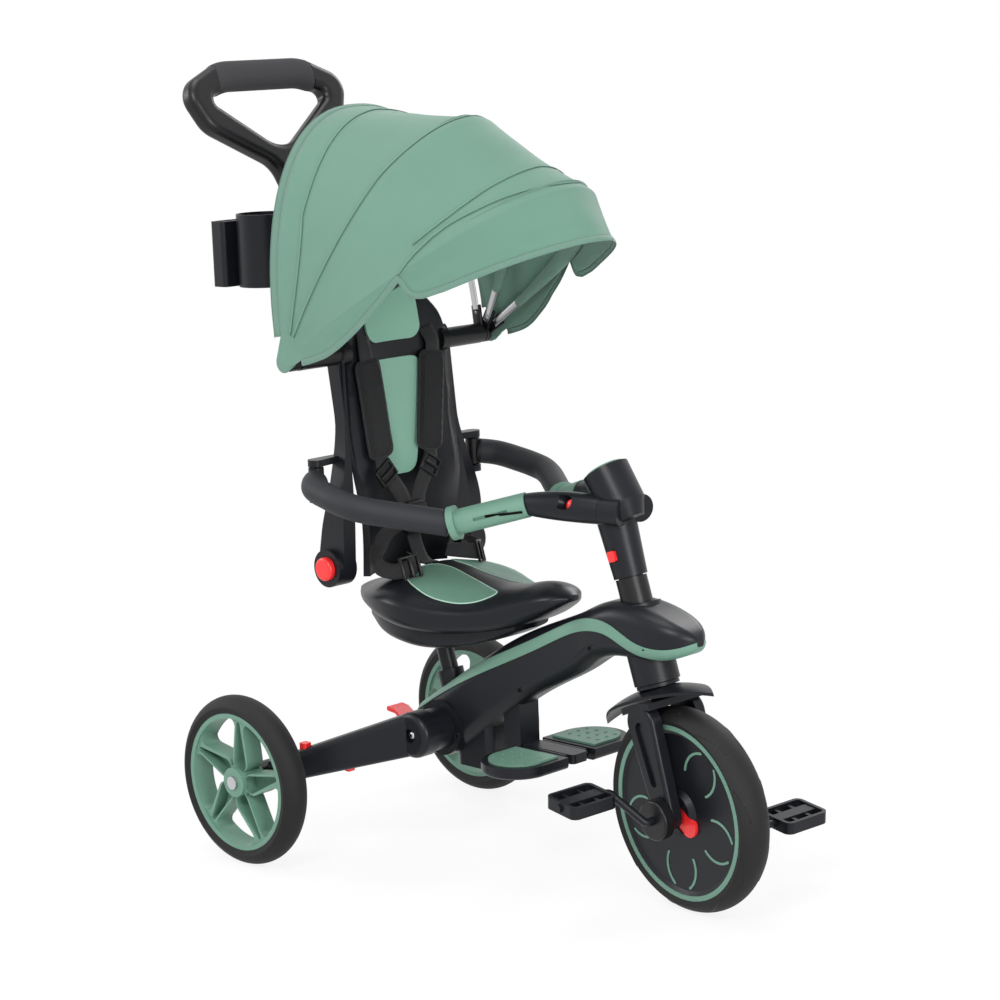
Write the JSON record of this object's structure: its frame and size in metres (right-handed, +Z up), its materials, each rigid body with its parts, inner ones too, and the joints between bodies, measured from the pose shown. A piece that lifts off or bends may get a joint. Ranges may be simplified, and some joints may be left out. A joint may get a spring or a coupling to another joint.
{
  "type": "children's tricycle",
  "caption": "Folding children's tricycle with steerable pedal wheel, padded safety arms, reclining seat, push handle and folding canopy.",
  "frame": {"origin": "middle of the footprint box, on the ground", "axes": "+X forward, +Y to the rider's left, +Z up"},
  "size_m": [0.8564, 0.4668, 1.0137],
  "materials": {
    "black_plastic": "satin moulded",
    "green_plastic": "satin moulded",
    "red_plastic": "gloss moulded",
    "steel": "plain",
    "tyre": "matt foam rubber",
    "foam": "matt foam",
    "cloth": "woven",
    "webbing": "woven"
  },
  "bodies": {
    "frame": {"frame_cover": "black_plastic", "frame_stripe": "green_plastic", "head_bushes": "black_plastic", "stem_sleeve": "black_plastic", "hinge_pins": "steel", "footrest_post": "black_plastic"},
    "steering": {"fork": "black_plastic", "fender": "green_plastic", "axle_bushes": "steel", "hub_caps": "black_plastic"},
    "front_wheel": {"front_tyre": "tyre", "front_trim": "green_plastic", "front_disc": "black_plastic"},
    "clutch": {"clutch_bar": "red_plastic"},
    "crank": {"crankshaft": "steel"},
    "pedal_right": {"pedal_right": "black_plastic"},
    "pedal_left": {"pedal_left": "black_plastic"},
    "brake_pedal": {"brake_pedal": "red_plastic"},
    "seat": {"seat_shell": "black_plastic", "seat_pan": "black_plastic", "seat_pads": "green_plastic", "seat_post": "steel"},
    "backrest": {"backrest_shell": "black_plastic", "back_panels": "green_plastic", "canopy_posts": "black_plastic", "canopy_bow_rear": "steel", "canopy_cloth": "cloth", "harness_pads": "webbing", "harness_straps": "black_plastic"},
    "push_handle": {"push_handle": "black_plastic", "handle_grip": "foam", "cup_holder": "black_plastic"},
    "canopy_mid": {"canopy_bow_mid": "steel"},
    "canopy_front": {"canopy_bow_front": "steel"},
    "handlebar": {"stem_body": "black_plastic", "stem_cap": "green_plastic", "handlebar_arms": "black_plastic", "grips": "green_plastic"},
    "rear_arm_right": {"rear_arm_right": "black_plastic", "rear_axle_right": "steel"},
    "rear_wheel_right": {"rear_tyre_right": "tyre", "rear_rim_right": "green_plastic"},
    "wheel_button_right": {"wheel_button_right": "red_plastic"},
    "recline_button_right": {"recline_button_right": "red_plastic"},
    "safety_arm_right": {"safety_arm_right": "foam"},
    "bar_button_right": {"bar_button_right": "red_plastic"},
    "stem_button_right": {"stem_button_right": "red_plastic"},
    "foot_wing_right": {"foot_wing_right": "black_plastic", "foot_pad_right": "green_plastic"},
    "rear_arm_left": {"rear_arm_left": "black_plastic", "rear_axle_left": "steel"},
    "rear_wheel_left": {"rear_tyre_left": "tyre", "rear_rim_left": "green_plastic"},
    "wheel_button_left": {"wheel_button_left": "red_plastic"},
    "recline_button_left": {"recline_button_left": "red_plastic"},
    "safety_arm_left": {"safety_arm_left": "foam"},
    "bar_button_left": {"bar_button_left": "red_plastic"},
    "stem_button_left": {"stem_button_left": "red_plastic"},
    "foot_wing_left": {"foot_wing_left": "black_plastic", "foot_pad_left": "green_plastic"}
  },
  "joints": [
    {"name": "steer", "type": "hinge", "parent": "frame", "child": "steering", "pos_m": [0.304, 0, 0.125], "axis": [-0.2924, 0, 0.9563], "range_deg": [-21.5, 38.5]},
    {"name": "front_wheel_spin", "type": "hinge", "parent": "steering", "child": "front_wheel", "pos_m": [0.304, 0, 0.125], "axis": [0.1414, 0.989, 0.0432], "continuous": true},
    {"name": "crank_turn", "type": "hinge", "parent": "steering", "child": "crank", "pos_m": [0.304, 0, 0.125], "axis": [0.1414, 0.989, 0.0432], "continuous": true},
    {"name": "pedal_right_spin", "type": "hinge", "parent": "crank", "child": "pedal_right", "pos_m": [0.2536, -0.13271, 0.1569], "axis": [0.1414, 0.989, 0.0432], "continuous": true},
    {"name": "pedal_left_spin", "type": "hinge", "parent": "crank", "child": "pedal_left", "pos_m": [0.3544, 0.13271, 0.0931], "axis": [0.1414, 0.989, 0.0432], "continuous": true},
    {"name": "clutch_push", "type": "slide", "parent": "front_wheel", "child": "clutch", "axis": [0.1414, 0.989, 0.0432], "range_m": [0, 0.003]},
    {"name": "fold_right", "type": "hinge", "parent": "frame", "child": "rear_arm_right", "pos_m": [-0.078, 0, 0.171], "axis": [0, -1, 0], "range_deg": [0, 100]},
    {"name": "fold_left", "type": "hinge", "parent": "frame", "child": "rear_arm_left", "pos_m": [-0.078, 0, 0.171], "axis": [0, -1, 0], "range_deg": [0, 100]},
    {"name": "rear_spin_right", "type": "hinge", "parent": "rear_arm_right", "child": "rear_wheel_right", "pos_m": [-0.262, -0.211, 0.11], "axis": [0, 1, 0], "continuous": true},
    {"name": "wheel_button_right_press", "type": "slide", "parent": "rear_arm_right", "child": "wheel_button_right", "axis": [0, 0, -1], "range_m": [0, 0.003], "stiffness_N_per_m": 400},
    {"name": "rear_spin_left", "type": "hinge", "parent": "rear_arm_left", "child": "rear_wheel_left", "pos_m": [-0.262, 0.211, 0.11], "axis": [0, 1, 0], "continuous": true},
    {"name": "wheel_button_left_press", "type": "slide", "parent": "rear_arm_left", "child": "wheel_button_left", "axis": [0, 0, -1], "range_m": [0, 0.003], "stiffness_N_per_m": 400},
    {"name": "brake_press", "type": "hinge", "parent": "frame", "child": "brake_pedal", "pos_m": [-0.15, 0, 0.158], "axis": [0, -1, 0], "range_deg": [0, 18], "stiffness_Nm_per_rad": 1.5},
    {"name": "foot_wing_right_fold", "type": "hinge", "parent": "frame", "child": "foot_wing_right", "pos_m": [0.086, -0.018, 0.1585], "axis": [1, 0, 0], "range_deg": [0, 80]},
    {"name": "foot_wing_left_fold", "type": "hinge", "parent": "frame", "child": "foot_wing_left", "pos_m": [0.086, 0.018, 0.1585], "axis": [-1, 0, 0], "range_deg": [0, 80]},
    {"name": "seat_height", "type": "slide", "parent": "frame", "child": "seat", "axis": [-0.2924, 0, 0.9563], "range_m": [0, 0.03]},
    {"name": "recline", "type": "hinge", "parent": "seat", "child": "backrest", "pos_m": [-0.176, 0, 0.381], "axis": [0, -1, 0], "range_deg": [0, 20]},
    {"name": "recline_button_right_press", "type": "slide", "parent": "backrest", "child": "recline_button_right", "axis": [0, 1, 0], "range_m": [0, 0.004], "stiffness_N_per_m": 400},
    {"name": "recline_button_left_press", "type": "slide", "parent": "backrest", "child": "recline_button_left", "axis": [0, -1, 0], "range_m": [0, 0.004], "stiffness_N_per_m": 400},
    {"name": "safety_arm_right_swing", "type": "hinge", "parent": "backrest", "child": "safety_arm_right", "pos_m": [-0.178, -0.138, 0.49451], "axis": [0, 0, -1], "range_deg": [0, 50]},
    {"name": "safety_arm_left_swing", "type": "hinge", "parent": "backrest", "child": "safety_arm_left", "pos_m": [-0.178, 0.138, 0.49451], "axis": [0, 0, 1], "range_deg": [0, 50]},
    {"name": "handle_height", "type": "slide", "parent": "backrest", "child": "push_handle", "axis": [-0.3518, 0, 0.9361], "range_m": [-0.08, 0]},
    {"name": "canopy_fold", "type": "hinge", "parent": "backrest", "child": "canopy_front", "pos_m": [-0.18, 0, 0.648], "axis": [0, -1, 0], "range_deg": [0, 36], "deforming": ["canopy_cloth"]},
    {"name": "canopy_mid_fold", "type": "hinge", "parent": "backrest", "child": "canopy_mid", "pos_m": [-0.18, 0, 0.648], "axis": [0, -1, 0], "range_deg": [0, 15.2]},
    {"name": "stem_height", "type": "slide", "parent": "frame", "child": "handlebar", "axis": [-0.2924, 0, 0.9563], "range_m": [0, 0.04]},
    {"name": "stem_button_right_press", "type": "slide", "parent": "handlebar", "child": "stem_button_right", "axis": [0, 1, 0], "range_m": [0, 0.0026], "stiffness_N_per_m": 400},
    {"name": "stem_button_left_press", "type": "slide", "parent": "handlebar", "child": "stem_button_left", "axis": [0, -1, 0], "range_m": [0, 0.0026], "stiffness_N_per_m": 400},
    {"name": "bar_button_right_press", "type": "slide", "parent": "handlebar", "child": "bar_button_right", "axis": [0.5535, 0.7547, -0.3522], "range_m": [0, 0.003], "stiffness_N_per_m": 400},
    {"name": "bar_button_left_press", "type": "slide", "parent": "handlebar", "child": "bar_button_left", "axis": [0.5535, -0.7547, -0.3522], "range_m": [0, 0.003], "stiffness_N_per_m": 400}
  ],
  "couplings": [
    {"joint": "crank_turn", "follows": "front_wheel_spin", "ratio": 1},
    {"joint": "fold_left", "follows": "fold_right", "ratio": 1},
    {"joint": "canopy_mid_fold", "follows": "canopy_fold", "ratio": 0.42},
    {"joint": "recline_button_left_press", "follows": "recline_button_right_press", "ratio": 1},
    {"joint": "stem_button_left_press", "follows": "stem_button_right_press", "ratio": 1}
  ]
}
